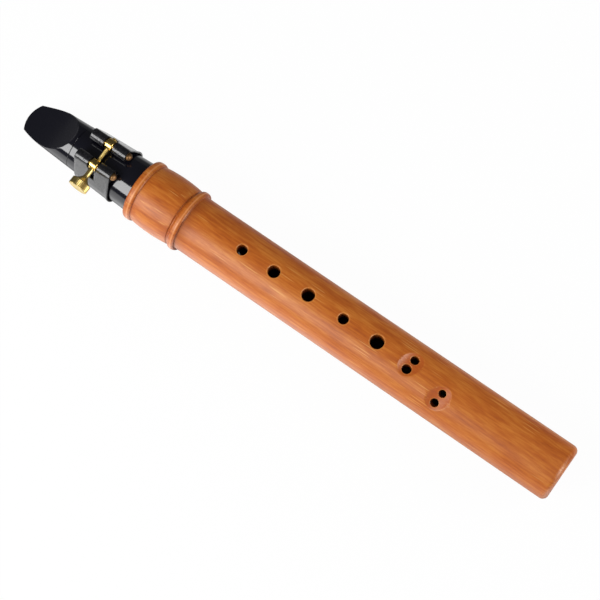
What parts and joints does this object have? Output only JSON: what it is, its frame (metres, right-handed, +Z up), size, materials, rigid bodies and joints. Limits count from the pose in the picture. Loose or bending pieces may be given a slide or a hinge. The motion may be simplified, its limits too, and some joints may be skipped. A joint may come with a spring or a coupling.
{
  "type": "small clarinet",
  "caption": "Keyless small clarinet: turned wooden body with finger holes and dished double holes, beaked mouthpiece, reed and a band ligature closed by a thumb screw.",
  "frame": {"origin": "middle of the bottom of the bounding box, as it lies with the finger holes up", "axes": "+X from the mouthpiece's tip to the foot along the bore, +Z up through the finger holes, +Y away from the thumb screw's knob"},
  "size_m": [0.3174, 0.0371, 0.0366],
  "materials": {
    "body": "oiled",
    "mouthpiece": "polished",
    "tenon_cork": "greased cork",
    "reed": "dry cane",
    "ligature_band": "coated",
    "near_post": "polished",
    "far_post": "polished",
    "thumb_screw": "polished, knurled rim"
  },
  "bodies": {
    "body": {"body": "body"},
    "cork": {"tenon_cork": "tenon_cork"},
    "mouthpiece": {"mouthpiece": "mouthpiece"},
    "reed": {"reed": "reed"},
    "ligature": {"ligature_band": "ligature_band", "near_post": "near_post"},
    "thumb_screw": {"thumb_screw": "thumb_screw"},
    "far_post": {"far_post": "far_post"}
  },
  "joints": [
    {"name": "mouthpiece_slide", "type": "slide", "parent": "body", "child": "cork", "axis": [-1, 0, 0], "range_m": [0, 0.022]},
    {"name": "mouthpiece_turn", "type": "hinge", "parent": "cork", "child": "mouthpiece", "pos_m": [-0.0869, 0.00217, 0.01635], "axis": [1, 0, 0], "continuous": true},
    {"name": "reed_slide", "type": "slide", "parent": "mouthpiece", "child": "reed", "axis": [-0.9984, 0, 0.0566], "range_m": [0, 0.068]},
    {"name": "ligature_slide", "type": "slide", "parent": "mouthpiece", "child": "ligature", "axis": [-1, 0, 0], "range_m": [0, 0.064]},
    {"name": "thumb_screw_turn", "type": "hinge", "parent": "ligature", "child": "thumb_screw", "pos_m": [-0.108, 0.00217, 0.03155], "axis": [0, -1, 0], "range_deg": [0, 1440]},
    {"name": "far_post_slide", "type": "slide", "parent": "ligature", "child": "far_post", "axis": [0, 1, 0], "range_m": [0, 0.002], "deforming": ["ligature_band"]}
  ],
  "couplings": [
    {"joint": "thumb_screw_turn", "follows": "far_post_slide", "rad_per_m": 12566}
  ]
}
